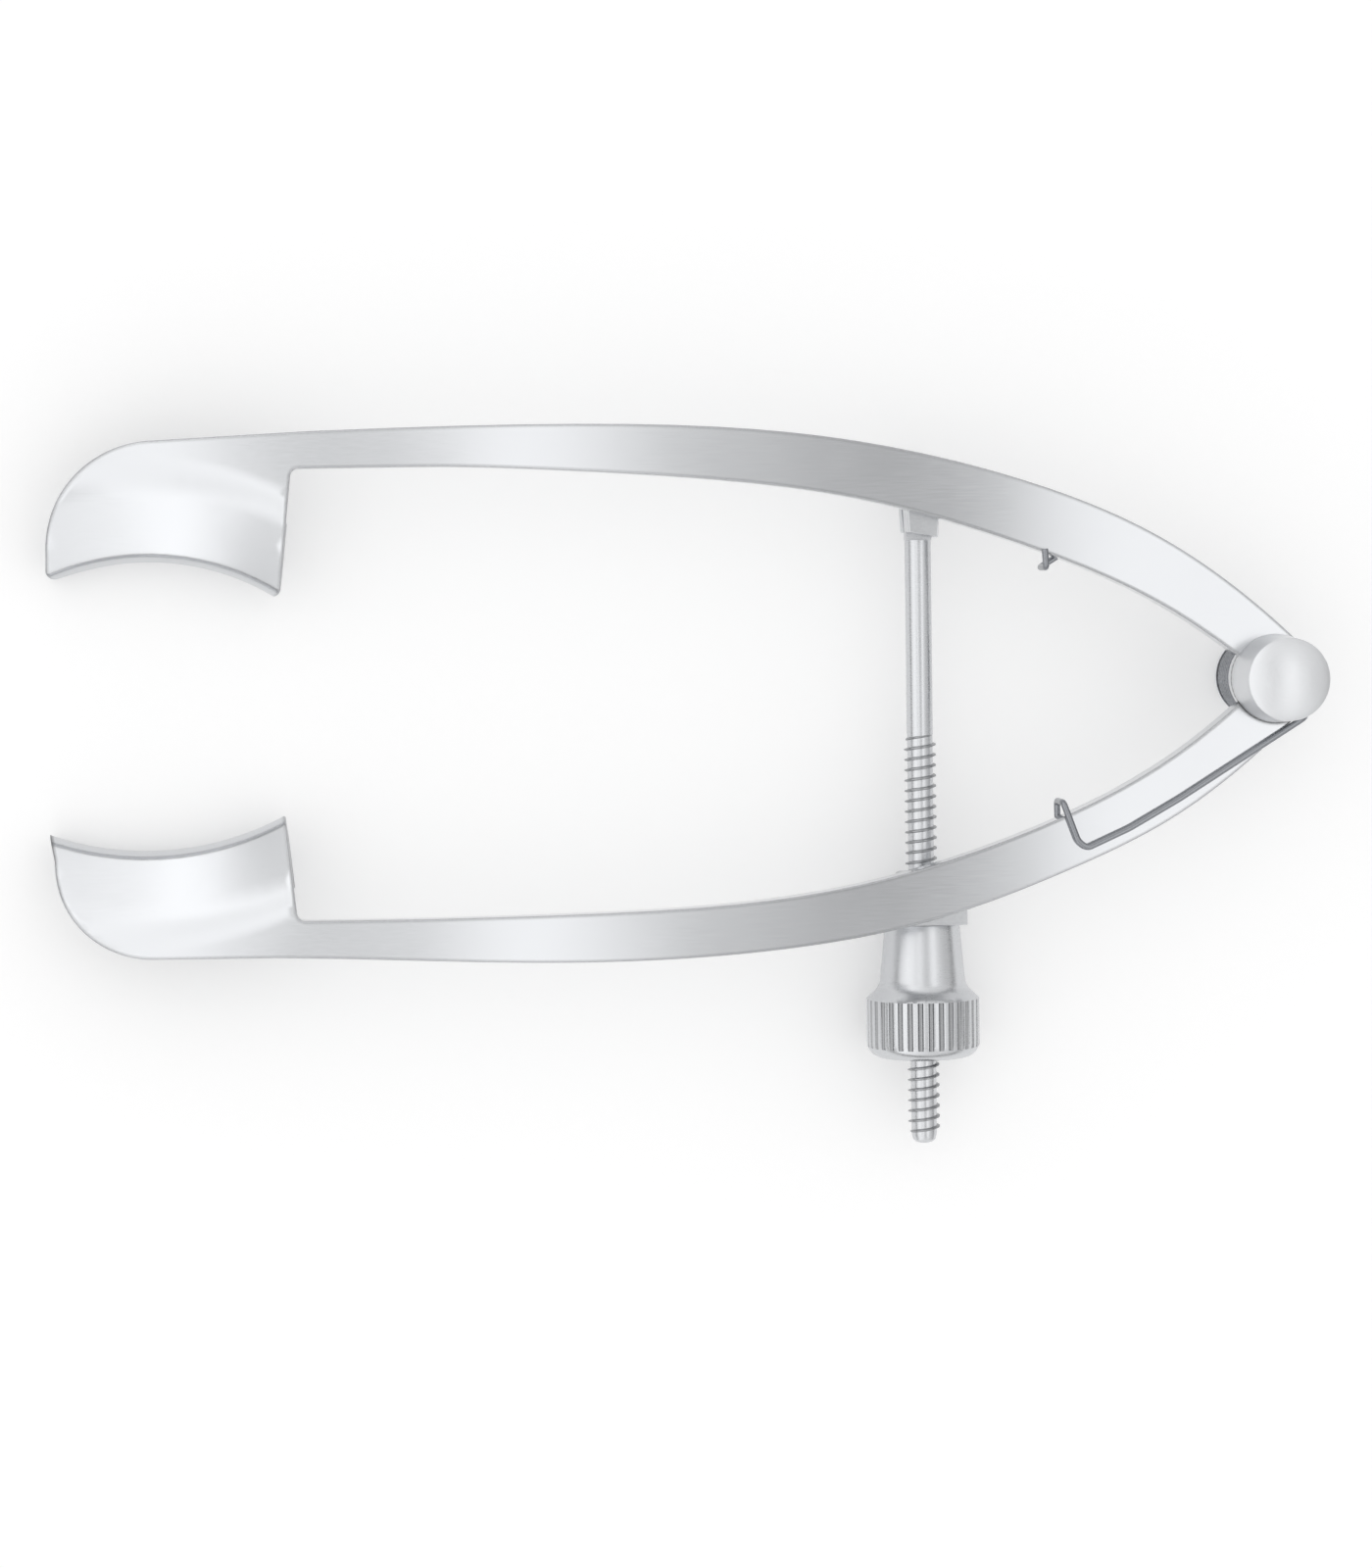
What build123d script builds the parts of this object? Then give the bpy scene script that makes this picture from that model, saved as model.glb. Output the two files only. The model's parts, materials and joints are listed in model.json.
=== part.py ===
"""Self-retaining eyelid retractor: two hinged arms with hooked solid lid blades, a coiled
wire spring that drives them apart, and a threaded rod with a thumb nut that holds the spread.

X runs from the lid blades to the hinge, Y across the spread and Z up from the table.
The origin lies on the table, in the middle of the lid opening. Lengths are in millimetres.
"""

import math
import os

from build123d import *

os.makedirs("parts", exist_ok=True)

# Hinge and screw triangle: both screw pins stand equally far from the hinge axis
hinge_x = 68.0
pin_reach = 25.14
rest_half_angle = 30.55
screw_x = hinge_x - pin_reach * math.cos(math.radians(rest_half_angle))
screw_y = pin_reach * math.sin(math.radians(rest_half_angle))

# Thumb nut
nut_grip_r = 3.55
nut_neck_r = 2.35
nut_waist_r = 2.7
nut_length = 8.4
nut_waist_at = 3.9
nut_grip_at = 4.7
nut_rim_fillet = 1.0
flute_count = 34
flute_r = 0.17
flute_lift = 0.02
flute_end_margin = 0.7
nut_flare_fillet = 1.2

# Threaded rod
rod_r = 0.82
thread_r = 1.0
rod_round_from = 3.9
thread_from = 16.0
rod_length = 41.75
rod_tip_fillet = 0.45
rod_eye_r = 0.9
rod_eye_thick = 1.0
rod_neck_width = 1.6

# Arms: flat bars that bow gently down towards the blades
screw_z = nut_grip_r
under_gap = 0.3
arm_under = screw_z + nut_neck_r + under_gap
arm_thick = 1.8
arm_top = arm_under + arm_thick
heel_thick = 1.3
bow_start_x = 40.0
bow_r = 365.0
bow_tilt = 4.8
edge_round = 0.12

# Hinge eyes, pin and barrel
eye_r = 2.62
lap_side_gap = 0.15
lap_face_gap = 0.02
hinge_pin_r = 1.0
running_gap = 0.04
head_r = 2.75
head_top_r = 2.55
head_height = 4.1
head_dome = 0.6
barrel_hub_r = 2.1
barrel_cap_r = 2.6
barrel_foot_r = 2.1
barrel_cap_height = 2.6
barrel_dome = 0.45
pin_end_wall = 0.9

# Opening spring
wire_r = 0.2
coil_r = 2.4
coil_pitch = 0.46
coil_turns = 6
coil_enter_angle = -14.8
coil_leave_angle = 61.3
riser_run = 1.84
upper_leg_run = 14.9
leg_gap = 0.02

# Yoke under the upper arm, with the pin that the rod turns on
yoke_body_r = 1.65
yoke_set_in = 0.35
yoke_mouth_at = 3.6
yoke_mouth_half = 0.9
yoke_root_half = 1.1
yoke_mouth_slant = 11.0
yoke_cheek = 0.8
yoke_slot_reach = 1.0
yoke_slot_gap = 0.05
yoke_pocket_r = 1.0
yoke_pin_r = 0.4
yoke_pin_bite = 1.1

# Swivel block under the lower arm, with the stud that it turns on
block_half_width = 2.5
block_face_at = 2.3
block_nose_half = 1.3
block_nose_at = 0.85
block_nose_fillet = 0.45
block_floor = 0.95
block_shoulder = 0.9
stud_height = 1.1
stud_end_gap = 0.05
stud_r = 0.75
nut_seat_gap = 0.05

# Lid blades: a hook section turned about the centre of each lid fold
blade_end_x = 7.8
heel_fillet = 0.5
blade_corner_fillet = 0.5
fold_trim = 0.1
plate_thick = 0.75
hook_depth = 3.72
shoulder_fillet = 5.5
bend_r = 1.45
lip_reach = 4.0
blade_reach = 12.0
upper_fold_x = -1.93
upper_fold_y = -6.94
upper_fold_r = 15.09
upper_shoulder = 5.2
lower_fold_x = -2.04
lower_fold_y = 8.35
lower_fold_r = 18.05
lower_shoulder = 4.3

plan_height = arm_top + 2.0
half_span = 25.0


def bow_end():
    """Point where the bowed top of an arm meets its straight, tilted blade end."""
    tilt = math.radians(bow_tilt)
    x = bow_start_x - bow_r * math.sin(tilt)
    z = arm_top - bow_r * (1 - math.cos(tilt))
    return x, z


def top_height(x):
    """Height of the tilted top plane of the blade end above the table."""
    end_x, end_z = bow_end()
    return end_z - (end_x - x) * math.tan(math.radians(bow_tilt))


def bar_slab():
    """Side profile of an arm, from the blade end to past the hinge, across the whole width."""
    end_x, end_z = bow_end()
    heel_drop = heel_thick / math.cos(math.radians(bow_tilt))
    blade_z = top_height(blade_end_x)
    tail_x = hinge_x + 2 * eye_r
    with BuildPart() as slab:
        with BuildSketch(Plane.XZ):
            with BuildLine():
                Line((tail_x, arm_under), (tail_x, arm_top))
                Line((tail_x, arm_top), (bow_start_x, arm_top))
                TangentArc((bow_start_x, arm_top), (end_x, end_z), tangent=(-1, 0))
                Polyline(
                    (end_x, end_z),
                    (blade_end_x, blade_z),
                    (blade_end_x, blade_z - heel_drop),
                    (end_x, end_z - heel_drop),
                )
                TangentArc((bow_start_x, arm_under), (end_x, end_z - heel_drop), tangent=(-1, 0))
                Line((bow_start_x, arm_under), (tail_x, arm_under))
            make_face()
        extrude(amount=half_span, both=True)
    return slab.part


def hook_ring(fold_x, fold_y, fold_r, shoulder):
    """Hook section of a lid blade, turned full circle about the centre of its fold."""
    tilt = math.radians(bow_tilt)
    to_bend = math.hypot(shoulder - bend_r, hook_depth)
    slope = math.atan2(hook_depth, shoulder - bend_r) - math.asin(bend_r / to_bend)
    slope_deg = math.degrees(slope)
    axis_dir = (-math.sin(tilt), 0, math.cos(tilt))
    centre = (fold_x, fold_y, top_height(fold_x))
    section = Plane(origin=centre, x_dir=(0, 1, 0), z_dir=(math.cos(tilt), 0, math.sin(tilt)))
    bend_w = -hook_depth
    inner_r = bend_r - plate_thick
    bend_x = fold_r + bend_r
    top_join = (bend_x - bend_r * math.sin(slope), bend_w + bend_r * math.cos(slope))
    under_join = (bend_x - inner_r * math.sin(slope), bend_w + inner_r * math.cos(slope))
    knee_x = under_join[0] + (-heel_thick - under_join[1]) / math.tan(slope)
    lip_w = bend_w - bend_r
    bend_start = 90 + slope_deg
    bend_turn = 180 - slope_deg
    with BuildPart() as ring:
        with BuildSketch(section):
            with BuildLine():
                FilletPolyline(
                    (fold_r + blade_reach, 0),
                    (fold_r + shoulder, 0),
                    top_join,
                    radius=shoulder_fillet,
                )
                CenterArc((bend_x, bend_w), bend_r, bend_start, bend_turn)
                Line((bend_x, lip_w), (fold_r + lip_reach, lip_w))
                CenterArc((fold_r + lip_reach, lip_w + plate_thick / 2), plate_thick / 2, -90, 180)
                Line((fold_r + lip_reach, lip_w + plate_thick), (bend_x, lip_w + plate_thick))
                CenterArc((bend_x, bend_w), inner_r, bend_start, bend_turn)
                Line(under_join, (knee_x, -heel_thick))
                Line((knee_x, -heel_thick), (fold_r + blade_reach, -heel_thick))
                Line((fold_r + blade_reach, -heel_thick), (fold_r + blade_reach, 0))
            make_face()
        revolve(axis=Axis(centre, axis_dir))
        with BuildSketch(Plane.XZ):
            with Locations((blade_end_x, 0)):
                Rectangle(2 * half_span, 4 * half_span, align=(Align.MAX, Align.CENTER))
        extrude(amount=2 * half_span, both=True, mode=Mode.INTERSECT)
    return ring.part


def eye_lap(bottom, height):
    """Round pocket at the hinge that takes the other arm's eye."""
    with BuildPart() as pocket:
        with BuildSketch(Plane.XY.offset(bottom)):
            with Locations((hinge_x, 0)):
                Circle(eye_r + lap_side_gap)
        extrude(amount=height)
    return pocket.part


def bar_edges(edges):
    """Upper and lower rims of an arm's bar, from behind the blade round the hinge eye."""
    rims = []
    for edge in edges:
        behind_blade = edge.bounding_box().min.X > blade_end_x + heel_fillet
        if behind_blade and edge.length > 2 * arm_thick:
            rims.append(edge)
    return rims


slab = bar_slab()
upper_ring = hook_ring(upper_fold_x, upper_fold_y, upper_fold_r, upper_shoulder)
lower_ring = hook_ring(lower_fold_x, lower_fold_y, lower_fold_r, lower_shoulder)
lap_z = arm_under + arm_thick / 2
upper_lap = eye_lap(0, lap_z + lap_face_gap)
lower_lap = eye_lap(lap_z - lap_face_gap, arm_thick)
eye_tangent = eye_r * math.sqrt(0.5)

# Upper arm
with BuildPart() as upper_arm:
    add(slab)
    add(upper_ring)
    with BuildSketch(Plane.XY.offset(-1)) as plan:
        with BuildLine():
            Spline(
                (8.3, 15.96),
                (24.0, 16.2),
                (hinge_x - 27.5, 15.2),
                (hinge_x - 15.4, 12.36),
                (hinge_x - 6.2, 8.27),
                (hinge_x + eye_tangent, eye_tangent),
                tangents=((1, 0.03), (1, -1)),
            )
            Line((hinge_x + eye_tangent, eye_tangent), (hinge_x, 0))
            Line((hinge_x, 0), (hinge_x - 1.4, 0.75))
            Spline(
                (hinge_x - 1.4, 0.75),
                (hinge_x - 6.25, 4.16),
                (hinge_x - 15.4, 8.36),
                (hinge_x - 24.5, 11.12),
                (31.5, 12.86),
                (19.6, 13.61),
                (7.5, 13.7),
                tangents=((-1, 0.75), (-1, 0)),
            )
            Line((7.5, 13.7), (6.6, 5.6))
            ThreePointArc(
                (6.6, 5.6),
                (upper_fold_x, upper_fold_y + upper_fold_r - fold_trim),
                (-7.75, 6.95),
            )
            Line((-7.75, 6.95), (-7.64, 8.65))
            TangentArc((-7.64, 8.65), (-0.75, 15.54), tangent=(0, 1))
            Line((-0.75, 15.54), (8.3, 15.96))
        make_face()
        fillet(plan.vertices().sort_by_distance((7.5, 13.7))[0], radius=heel_fillet)
        fillet(plan.vertices().sort_by_distance((6.6, 5.6))[0], radius=blade_corner_fillet)
        fillet(plan.vertices().sort_by_distance((-7.75, 6.95))[0], radius=blade_corner_fillet)
        with Locations((hinge_x, 0)):
            Circle(eye_r)
    extrude(amount=plan_height, mode=Mode.INTERSECT)
    fillet(bar_edges(upper_arm.edges()), radius=edge_round)
    add(upper_lap, mode=Mode.SUBTRACT)
    with Locations((hinge_x, 0, 0)):
        Cylinder(hinge_pin_r + running_gap, 4 * arm_top, mode=Mode.SUBTRACT)
    with Locations((screw_x, screw_y, arm_under)):
        Cylinder(yoke_pin_r, 2 * yoke_pin_bite, mode=Mode.SUBTRACT)
upper_arm.part.label = "upper_arm"

# Lower arm
with BuildPart() as lower_arm:
    add(slab)
    add(lower_ring)
    with BuildSketch(Plane.XY.offset(-1)) as plan:
        with BuildLine():
            Spline(
                (6.0, -16.17),
                (25.0, -16.75),
                (hinge_x - 30.9, -16.19),
                (hinge_x - 21.7, -14.63),
                (hinge_x - 12.5, -11.43),
                (hinge_x - 6.35, -8.45),
                (hinge_x + eye_tangent, -eye_tangent),
                tangents=((1, -0.02), (1, 1)),
            )
            Line((hinge_x + eye_tangent, -eye_tangent), (hinge_x, 0))
            Line((hinge_x, 0), (hinge_x - 1.4, -0.75))
            Spline(
                (hinge_x - 1.4, -0.75),
                (hinge_x - 6.3, -4.63),
                (hinge_x - 15.6, -9.24),
                (hinge_x - 24.75, -12.02),
                (31.1, -13.56),
                (19.1, -13.88),
                (7.4, -13.92),
                tangents=((-1, -0.9), (-1, 0)),
            )
            Line((7.4, -13.92), (6.69, -7.3))
            ThreePointArc(
                (6.69, -7.3),
                (lower_fold_x, lower_fold_y - lower_fold_r + fold_trim),
                (-7.85, -8.6),
            )
            Line((-7.85, -8.6), (-7.5, -10.12))
            TangentArc((-7.5, -10.12), (-1.46, -16.16), tangent=(0, -1))
            Line((-1.46, -16.16), (6.0, -16.17))
        make_face()
        fillet(plan.vertices().sort_by_distance((7.4, -13.92))[0], radius=heel_fillet)
        with Locations((hinge_x, 0)):
            Circle(eye_r)
    extrude(amount=plan_height, mode=Mode.INTERSECT)
    fillet(bar_edges(lower_arm.edges()), radius=edge_round)
    add(lower_lap, mode=Mode.SUBTRACT)
    with Locations((hinge_x, 0, 0)):
        Cylinder(hinge_pin_r + running_gap, 4 * arm_top, mode=Mode.SUBTRACT)
    with Locations((screw_x, -screw_y, arm_under)):
        Cylinder(stud_r + running_gap, 2 * (stud_height + stud_end_gap), mode=Mode.SUBTRACT)
lower_arm.part.label = "lower_arm"

# Hinge pin, turned in one piece with its domed head
head_base = arm_top + running_gap
head_shoulder_z = head_base + head_height - head_dome
with BuildPart() as pivot_pin:
    with BuildSketch(Plane.XZ):
        with BuildLine():
            Polyline(
                (hinge_x, head_base + head_height),
                (hinge_x, pin_end_wall),
                (hinge_x + hinge_pin_r, pin_end_wall),
                (hinge_x + hinge_pin_r, head_base),
                (hinge_x + head_r, head_base),
                (hinge_x + head_top_r, head_shoulder_z),
            )
            TangentArc(
                (hinge_x, head_base + head_height),
                (hinge_x + head_top_r, head_shoulder_z),
                tangent=(1, 0),
            )
        make_face()
    revolve(axis=Axis((hinge_x, 0, 0), (0, 0, 1)))
pivot_pin.part.label = "pivot_pin"

# Barrel under the arms: the hub that the coil sits round, and the cap that closes the hinge
hub_top = arm_under - running_gap
with BuildPart() as pivot_barrel:
    with BuildSketch(Plane.XZ):
        with BuildLine():
            TangentArc((hinge_x, 0), (hinge_x + barrel_foot_r, barrel_dome), tangent=(1, 0))
            Polyline(
                (hinge_x + barrel_foot_r, barrel_dome),
                (hinge_x + barrel_cap_r, barrel_cap_height),
                (hinge_x + barrel_hub_r, barrel_cap_height),
                (hinge_x + barrel_hub_r, hub_top),
                (hinge_x + hinge_pin_r, hub_top),
                (hinge_x + hinge_pin_r, pin_end_wall),
                (hinge_x, pin_end_wall),
                (hinge_x, 0),
            )
        make_face()
    revolve(axis=Axis((hinge_x, 0, 0), (0, 0, 1)))
pivot_barrel.part.label = "pivot_barrel"

# Opening spring: a coil round the barrel, one leg over the lower arm and one under the upper
coil_top = arm_under - wire_r - leg_gap
leg_top = arm_top + wire_r + leg_gap
coil_sweep = coil_leave_angle - coil_enter_angle + 360 * coil_turns
coil_height = coil_pitch * coil_sweep / 360
coil_bottom = coil_top - coil_height


def coil_point(angle, z):
    """Point on the coil's centre line at a turn angle."""
    turn = math.radians(angle)
    return (hinge_x + coil_r * math.cos(turn), coil_r * math.sin(turn), z)


def coil_tangent(angle, length, z):
    """Point reached from the coil along its tangent, in the direction of the winding."""
    turn = math.radians(angle)
    x, y, _ = coil_point(angle, z)
    return (x - length * math.sin(turn), y + length * math.cos(turn), z)


riser = coil_tangent(coil_enter_angle, -riser_run, coil_bottom)
with BuildLine() as lower_leg_path:
    FilletPolyline(
        coil_point(coil_enter_angle, coil_bottom),
        riser,
        (riser[0], riser[1], leg_top),
        (hinge_x - 6.2, -7.36, leg_top),
        (hinge_x - 9.3, -9.1, leg_top),
        (hinge_x - 12.0, -10.3, leg_top),
        (hinge_x - 12.55, -9.85, leg_top),
        (hinge_x - 13.44, -7.45, leg_top),
        (hinge_x - 13.44, -7.45, coil_top),
        (hinge_x - 13.4, -8.9, coil_top),
        radius=[0.6, 0.5, 5, 5, 0.5, 0.9, 0.3, 0.3],
    )
with BuildLine() as upper_leg_path:
    FilletPolyline(
        coil_point(coil_leave_angle, coil_top),
        coil_tangent(coil_leave_angle, upper_leg_run, coil_top),
        (hinge_x - 12.35, 8.3, coil_top),
        (hinge_x - 14.37, 7.07, coil_top),
        (hinge_x - 14.37, 7.07, leg_top),
        (hinge_x - 14.45, 8.2, leg_top),
        radius=[0.5, 0.6, 0.3, 0.3],
    )
helix_plane = Plane(
    origin=(hinge_x, 0, coil_bottom),
    x_dir=Vector(1, 0, 0).rotate(Axis.Z, coil_enter_angle),
    z_dir=(0, 0, 1),
)
helix = helix_plane.from_local_coords(Helix(coil_pitch, coil_height, coil_r, mode=Mode.PRIVATE))
spring_edges = [*lower_leg_path.edges(), *helix.edges(), *upper_leg_path.edges()]
spring_line = Wire.combine(spring_edges)[0]
with BuildPart() as opening_spring:
    with BuildSketch(Plane(origin=spring_line @ 0, z_dir=spring_line % 0)):
        Circle(wire_r)
    sweep(path=spring_line, is_frenet=True)
opening_spring.part.label = "opening_spring"

# Yoke under the upper arm: a round body with a tapered mouth, slotted for the rod's eye
yoke_bottom = screw_z - rod_eye_thick / 2 - yoke_slot_gap - yoke_cheek
slant = yoke_mouth_half * math.tan(math.radians(yoke_mouth_slant))
mouth_y = screw_y - yoke_mouth_at
with BuildPart() as rod_yoke:
    with BuildSketch(Plane.XY.offset(yoke_bottom)):
        with Locations((screw_x, screw_y - yoke_set_in)):
            Circle(yoke_body_r)
        with BuildLine():
            Polyline(
                (screw_x - yoke_root_half, screw_y - yoke_set_in),
                (screw_x - yoke_mouth_half, mouth_y + slant),
                (screw_x + yoke_mouth_half, mouth_y - slant),
                (screw_x + yoke_root_half, screw_y - yoke_set_in),
                close=True,
            )
        make_face()
    extrude(amount=arm_under - yoke_bottom)
    with BuildSketch(Plane.XY.offset(screw_z)):
        with Locations((screw_x, screw_y)):
            Circle(yoke_pocket_r)
        with BuildLine():
            Polyline(
                (screw_x - yoke_pocket_r, screw_y),
                (screw_x - 2 * yoke_pocket_r, mouth_y - yoke_slot_reach),
                (screw_x + 2 * yoke_pocket_r, mouth_y - yoke_slot_reach),
                (screw_x + yoke_pocket_r, screw_y),
                close=True,
            )
        make_face()
    extrude(amount=rod_eye_thick / 2 + yoke_slot_gap, both=True, mode=Mode.SUBTRACT)
    with Locations((screw_x, screw_y, screw_z)):
        Cylinder(yoke_pin_r, 2 * arm_under, mode=Mode.SUBTRACT)
rod_yoke.part.label = "rod_yoke"

# Pin of the yoke, driven up into the upper arm
with BuildPart() as yoke_pin:
    with BuildSketch(Plane.XY.offset(yoke_bottom)):
        with Locations((screw_x, screw_y)):
            Circle(yoke_pin_r)
    extrude(amount=arm_under + yoke_pin_bite - yoke_bottom)
yoke_pin.part.label = "yoke_pin"

# Threaded rod: flat eye, round shank, thread at its full diameter and a rounded tip
rod_axis = Axis((screw_x, screw_y, screw_z), (0, -1, 0))
with BuildPart() as threaded_rod:
    with BuildSketch(Plane.XY.offset(screw_z)) as rod_profile:
        with BuildLine():
            Polyline(
                (screw_x, screw_y - rod_round_from),
                (screw_x + rod_r, screw_y - rod_round_from),
                (screw_x + rod_r, screw_y - thread_from),
                (screw_x + thread_r, screw_y - thread_from - (thread_r - rod_r)),
                (screw_x + thread_r, screw_y - rod_length),
                (screw_x, screw_y - rod_length),
                close=True,
            )
        make_face()
        tip_corner = (screw_x + thread_r, screw_y - rod_length, screw_z)
        fillet(rod_profile.vertices().sort_by_distance(tip_corner)[0], radius=rod_tip_fillet)
    revolve(axis=rod_axis)
    with BuildSketch(Plane.XY.offset(screw_z - rod_eye_thick / 2)):
        with Locations((screw_x, screw_y)):
            Circle(rod_eye_r)
        with Locations((screw_x, screw_y - rod_round_from / 2)):
            Rectangle(rod_neck_width, rod_round_from)
    extrude(amount=rod_eye_thick)
    with Locations((screw_x, screw_y, screw_z)):
        Cylinder(yoke_pin_r + running_gap, 2 * rod_eye_thick, mode=Mode.SUBTRACT)
threaded_rod.part.label = "threaded_rod"

# Swivel block under the lower arm: cross-bored for the rod, with its stud in the arm
block_bottom = screw_z - thread_r - running_gap - block_floor
block_top = arm_under - running_gap
face_y = -screw_y - block_face_at
with BuildPart() as swivel_block:
    with BuildSketch(Plane.XY.offset(block_bottom)) as block_plan:
        with BuildLine():
            Polyline(
                (screw_x - block_nose_half, -screw_y + block_nose_at),
                (screw_x - block_half_width, face_y + block_shoulder),
                (screw_x - block_half_width, face_y),
                (screw_x + block_half_width, face_y),
                (screw_x + block_half_width, face_y + block_shoulder),
                (screw_x + block_nose_half, -screw_y + block_nose_at),
                close=True,
            )
        make_face()
        fillet(block_plan.vertices().sort_by(Axis.Y)[-2:], radius=block_nose_fillet)
    extrude(amount=block_top - block_bottom)
    with BuildSketch(Plane.XY.offset(block_top)):
        with Locations((screw_x, -screw_y)):
            Circle(stud_r)
    extrude(amount=arm_under + stud_height - block_top)
    with BuildSketch(Plane(origin=(screw_x, face_y, screw_z), z_dir=(0, 1, 0))):
        Circle(thread_r + running_gap)
    extrude(amount=block_face_at + 2 * block_nose_at, both=True, mode=Mode.SUBTRACT)
swivel_block.part.label = "swivel_block"

# Thumb nut: neck, flare and fluted grip turned about the rod
nut_face_y = face_y - nut_seat_gap
with BuildPart() as thumb_nut:
    with BuildSketch(Plane.XY.offset(screw_z)) as nut_profile:
        with BuildLine():
            Polyline(
                (screw_x + thread_r + running_gap, nut_face_y),
                (screw_x + nut_neck_r, nut_face_y),
                (screw_x + nut_waist_r, nut_face_y - nut_waist_at),
                (screw_x + nut_grip_r, nut_face_y - nut_grip_at),
                (screw_x + nut_grip_r, nut_face_y - nut_length),
                (screw_x + thread_r + running_gap, nut_face_y - nut_length),
                close=True,
            )
        make_face()
        waist = (screw_x + nut_waist_r, nut_face_y - nut_waist_at, screw_z)
        fillet(nut_profile.vertices().sort_by_distance(waist)[0], radius=nut_flare_fillet)
        rim = (screw_x + nut_grip_r, nut_face_y - nut_length, screw_z)
        fillet(nut_profile.vertices().sort_by_distance(rim)[0], radius=nut_rim_fillet)
    revolve(axis=rod_axis)
    with BuildSketch(Plane(origin=(screw_x, nut_face_y - nut_grip_at, screw_z), z_dir=(0, -1, 0))):
        with PolarLocations(nut_grip_r + flute_lift, flute_count):
            Circle(flute_r)
    extrude(amount=nut_length - nut_grip_at - flute_end_margin, mode=Mode.SUBTRACT)
thumb_nut.part.label = "thumb_nut"

export_step(upper_arm.part, "parts/upper_arm.step")
export_step(lower_arm.part, "parts/lower_arm.step")
export_step(pivot_pin.part, "parts/pivot_pin.step")
export_step(pivot_barrel.part, "parts/pivot_barrel.step")
export_step(opening_spring.part, "parts/opening_spring.step")
export_step(rod_yoke.part, "parts/rod_yoke.step")
export_step(yoke_pin.part, "parts/yoke_pin.step")
export_step(threaded_rod.part, "parts/threaded_rod.step")
export_step(swivel_block.part, "parts/swivel_block.step")
export_step(thumb_nut.part, "parts/thumb_nut.step")
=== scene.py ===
"""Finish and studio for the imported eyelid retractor.

X runs from the lid blades to the hinge, Y across the spread and Z up from the table, in metres.
Each piece or group of like pieces has an operator, and so has the stage: the sidebar lists them.
"""

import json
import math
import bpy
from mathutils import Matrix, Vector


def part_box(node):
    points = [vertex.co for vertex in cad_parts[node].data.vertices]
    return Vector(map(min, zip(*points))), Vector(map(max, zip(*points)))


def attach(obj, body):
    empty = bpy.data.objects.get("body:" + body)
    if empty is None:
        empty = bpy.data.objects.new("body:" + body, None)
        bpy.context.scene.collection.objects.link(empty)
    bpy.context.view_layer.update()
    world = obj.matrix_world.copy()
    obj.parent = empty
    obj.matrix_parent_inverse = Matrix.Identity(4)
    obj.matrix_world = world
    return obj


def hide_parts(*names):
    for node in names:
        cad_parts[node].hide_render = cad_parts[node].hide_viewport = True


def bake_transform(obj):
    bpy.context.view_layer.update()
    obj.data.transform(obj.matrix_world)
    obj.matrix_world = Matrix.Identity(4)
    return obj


bl_info = {
    "name": "Eyelid retractor finish",
    "version": (1, 0, 0),
    "blender": (4, 5, 0),
    "location": "3D View > Sidebar > Retractor",
    "description": "Finishes the steel pieces of an eyelid retractor and sets up its studio",
    "category": "Object",
}

import bmesh
import bpy
from bpy.props import FloatProperty, FloatVectorProperty, IntProperty, PointerProperty
from mathutils import Matrix, Vector

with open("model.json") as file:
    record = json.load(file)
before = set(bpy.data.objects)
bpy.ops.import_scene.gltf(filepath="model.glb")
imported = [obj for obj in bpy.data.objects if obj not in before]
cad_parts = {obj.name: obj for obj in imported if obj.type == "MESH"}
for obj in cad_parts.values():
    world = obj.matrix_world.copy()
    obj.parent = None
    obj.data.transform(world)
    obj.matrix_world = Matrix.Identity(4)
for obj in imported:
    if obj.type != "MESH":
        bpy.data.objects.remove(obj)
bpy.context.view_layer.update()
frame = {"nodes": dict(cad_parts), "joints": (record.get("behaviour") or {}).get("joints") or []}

MM = 0.001

# Meshes: what counts as one point, as one flat and as a sharp edge, the steps across a rounded rim,
# and how strongly large faces set the shading of their corners.
MERGE_DISTANCE = 5e-7
LEVEL_ANGLE = math.radians(0.05)
SHARP_ANGLE = math.radians(32)
RIM_SEGMENTS = 2
FACE_WEIGHT = 100


def joint_point(name):
    """Point on a joint's axis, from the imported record."""
    for joint in frame["joints"]:
        if joint["name"] == name:
            return Vector(joint["pos_m"])
    raise RuntimeError(f"the record has no joint named {name}")


ROD_ROOT = joint_point("rod_swivel")
ROD_WAY = Vector((0, -1, 0))

# Grain of each finish: how often it changes in a metre along X, Y and Z.
ARM_GRAIN = (500, 16000, 16000)
HINGE_GRAIN = (2500, 2500, 30000)
ROD_GRAIN = (1500, 30000, 1500)
MILLED_GRAIN = (5000, 9000, 9000)
WIRE_GRAIN = (6000, 6000, 6000)

# Steel: the noise of the grain and of its clouds, and how they change gloss, colour and surface.
GRAIN_DETAIL = 4.0
GRAIN_FALLOFF = 0.6
CLOUDS_PER_METRE = 140.0
CLOUD_DETAIL = 3.0
CLOUD_SHARE = 0.45
GLOSS_NOISE = (0.3, 0.7)
GLOSS_SPREAD = (0.75, 1.3)
TINT_NOISE = (0.25, 0.7)
TINT_SHADE = 0.93
MARK_STRENGTH = 0.12
MARK_DEPTH = 0.01 * MM

# Arm rims, painted shade: the steel's colour darkens near each rim. Rays look this far into the
# steel, in rim widths. Where half of them come through, the colour keeps the painted rim shade's
# share of its brightness, and where nearly all do, the whole of it.
RIM_REACH = 1.6
RIM_CLEAR = (0.5, 0.95)
PAINTED_RIM_SHADE = 0.35
RIM_SAMPLES = 3

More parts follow.
